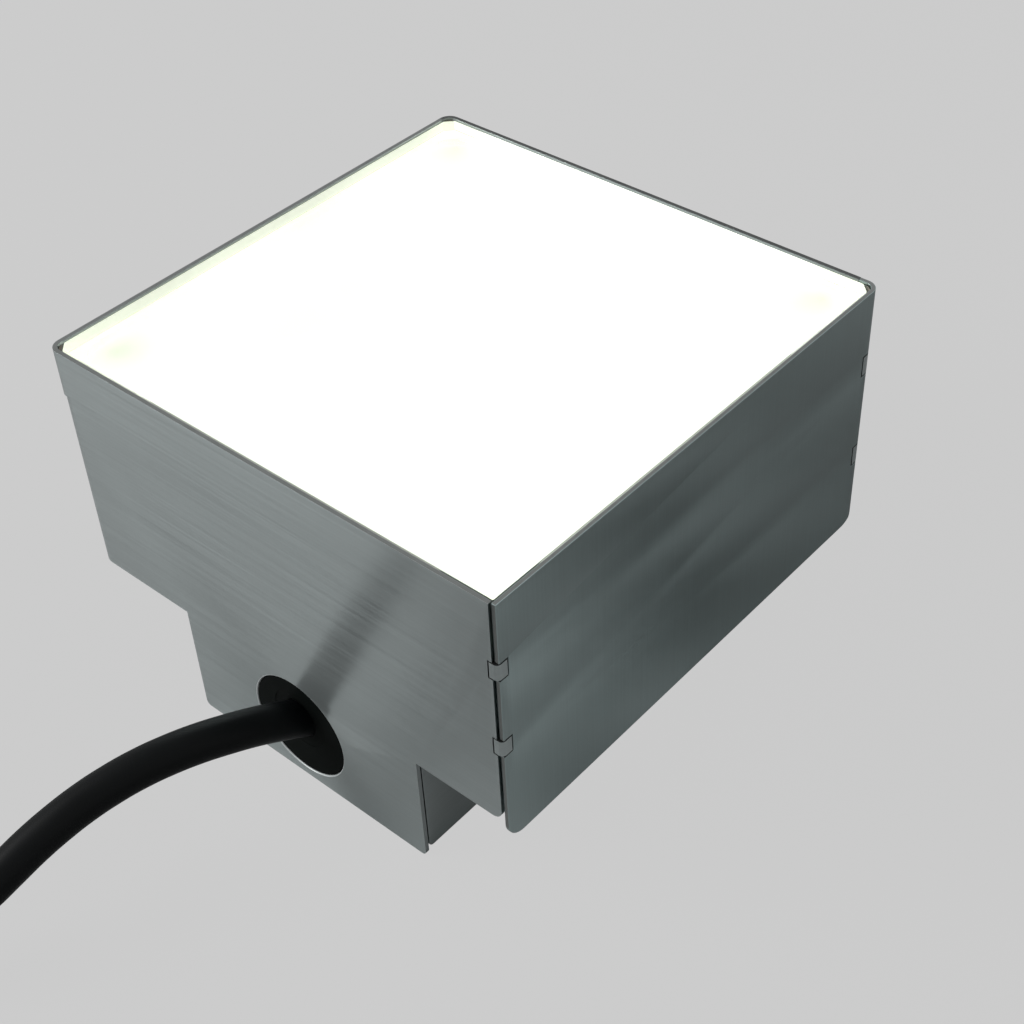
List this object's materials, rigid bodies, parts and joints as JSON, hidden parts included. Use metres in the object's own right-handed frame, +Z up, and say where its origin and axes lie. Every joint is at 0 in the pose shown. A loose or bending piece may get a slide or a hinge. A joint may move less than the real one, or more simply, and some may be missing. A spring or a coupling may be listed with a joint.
{
  "type": "brick light",
  "caption": "Paving-brick light: brushed steel box with a square lit glass top, a narrower foot below and a black rubber cable from a round hole.",
  "frame": {"origin": "centre of the square plan, at the bottom of the foot", "axes": "+Z up through the glass, -Y towards the cable side, +X towards the separate side plate"},
  "size_m": [0.1029, 0.3041, 0.07],
  "materials": {
    "brushed_steel": "fine horizontal brushing",
    "clear_glass": "clear, polished, faint green",
    "dark_silicone": "satin",
    "brown_rubber": "matt",
    "clear_gasket": "milky",
    "white_plastic": "matt moulded",
    "opal_diffuser": "opal, lit",
    "white_board": "solder mask",
    "led_phosphor": "lit",
    "zinc_screw": "bright plating",
    "aluminium_plate": "mill finish",
    "black_housing": "moulded",
    "dark_resin": "cast",
    "black_rubber": "satin",
    "cable_rubber": "soft sheen",
    "core_insulation": "smooth",
    "green_plastic": "moulded",
    "green_board": "solder mask",
    "ferrite": "ferrite and enamel",
    "blue_sleeve": "shrunk sleeve",
    "chip_black": "moulded",
    "red_insulation": "smooth",
    "tie_fabric": "hook and loop strap"
  },
  "bodies": {
    "root": {"wrap_sheet": "brushed_steel", "side_plate": "brushed_steel", "foot_plate_left": "brushed_steel", "foot_plate_right": "brushed_steel", "front_corner_bracket": "brushed_steel", "rear_corner_bracket": "brushed_steel", "glass": "clear_glass", "edge_sealant": "dark_silicone", "glass_corner_pads": "brown_rubber", "glass_gasket": "clear_gasket", "light_frame": "white_plastic", "diffuser": "opal_diffuser", "reflector_tray": "white_plastic", "led_board": "white_board", "leds": "led_phosphor", "board_screws": "zinc_screw", "heat_plate": "aluminium_plate", "housing_tub": "black_housing", "housing_foot": "black_housing", "potting_resin": "dark_resin", "cable_seal": "black_rubber", "seal_collar": "black_housing", "inner_lead": "cable_rubber", "inner_cores": "core_insulation", "terminal_block": "green_plastic", "driver_board": "green_board", "transformer": "ferrite", "capacitors": "blue_sleeve", "driver_chips": "chip_black", "led_leads": "red_insulation", "cable": "cable_rubber", "cable_coil": "cable_rubber", "cable_tail": "cable_rubber", "cable_cores": "core_insulation", "core_ferrules": "zinc_screw", "coil_tie": "tie_fabric"}
  },
  "joints": []
}
